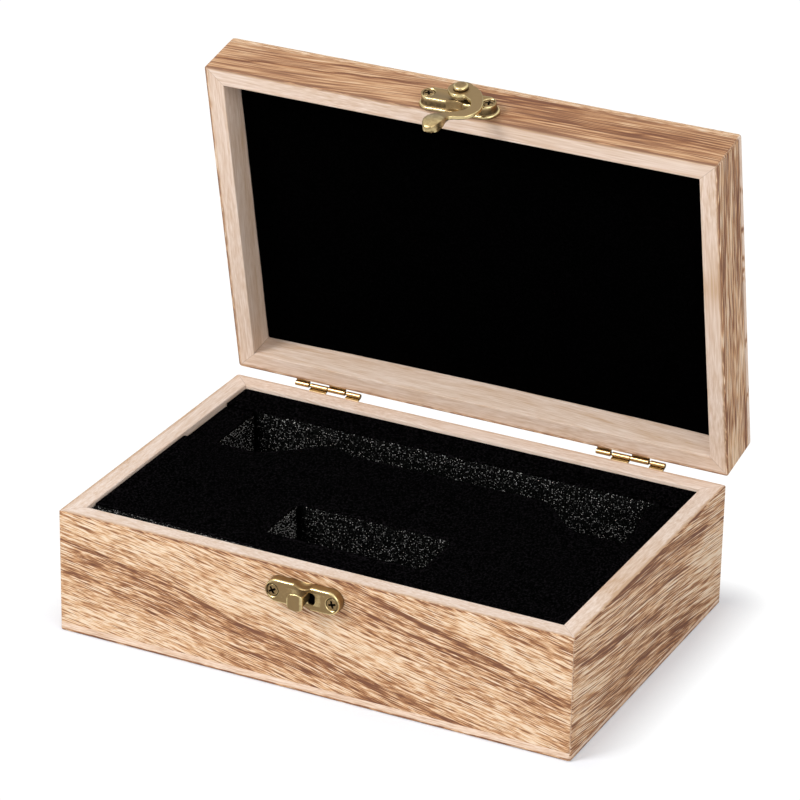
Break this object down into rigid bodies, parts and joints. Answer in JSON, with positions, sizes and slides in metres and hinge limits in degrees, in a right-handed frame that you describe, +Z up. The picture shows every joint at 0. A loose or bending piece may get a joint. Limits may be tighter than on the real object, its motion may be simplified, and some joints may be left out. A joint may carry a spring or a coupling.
{
  "type": "watch box",
  "caption": "Hinged wooden box with a hook latch, a black velvet foam insert with one long and one small pocket, and a velvet pad in the open lid.",
  "frame": {"origin": "centre of the base's underside, in the plane that rests on the table", "axes": "+X to the right as seen from the latch side, +Y towards the hinges, +Z up; the lid is stored open at 78.4 degrees from closed, as pictured"},
  "size_m": [0.2, 0.1638, 0.1898],
  "materials": {
    "wood": "lightly torched, matt",
    "foam": "raw black foam",
    "velvet": "black velvet",
    "antique_brass": "antique, satin",
    "bright_brass": "bright"
  },
  "bodies": {
    "base": {"base_bottom_panel": "wood", "base_front_board": "wood", "base_back_board": "wood", "base_left_board": "wood", "base_right_board": "wood", "insert_floor": "foam", "insert_front_block": "foam", "insert_front_velvet": "velvet", "insert_back_bar": "foam", "insert_back_velvet": "velvet", "insert_left_block": "foam", "insert_left_velvet": "velvet", "insert_right_block": "foam", "insert_right_velvet": "velvet", "catch_plate": "antique_brass", "catch_screws": "antique_brass", "left_hinge_base_leaf": "bright_brass", "right_hinge_base_leaf": "bright_brass", "left_hinge_pin": "bright_brass", "right_hinge_pin": "bright_brass", "base_hinge_screws": "bright_brass"},
    "lid": {"lid_top_panel": "wood", "lid_front_rail": "wood", "lid_back_rail": "wood", "lid_left_rail": "wood", "lid_right_rail": "wood", "lid_pad_foam": "foam", "lid_pad_velvet": "velvet", "latch_plate": "antique_brass", "latch_screws": "antique_brass", "latch_rivet": "antique_brass", "left_hinge_lid_leaf": "bright_brass", "right_hinge_lid_leaf": "bright_brass", "lid_hinge_screws": "bright_brass"},
    "hook": {"latch_hook": "antique_brass"}
  },
  "joints": [
    {"name": "lid_hinge", "type": "hinge", "parent": "base", "child": "lid", "pos_m": [0, 0.0683, 0.048], "axis": [-1, 0, 0], "range_deg": [-78.4, 111.6]},
    {"name": "hook_pivot", "type": "hinge", "parent": "lid", "child": "hook", "pos_m": [0.0005, 0.04513, 0.18724], "axis": [0, -0.2011, 0.9796], "range_deg": [-20, 70]}
  ]
}
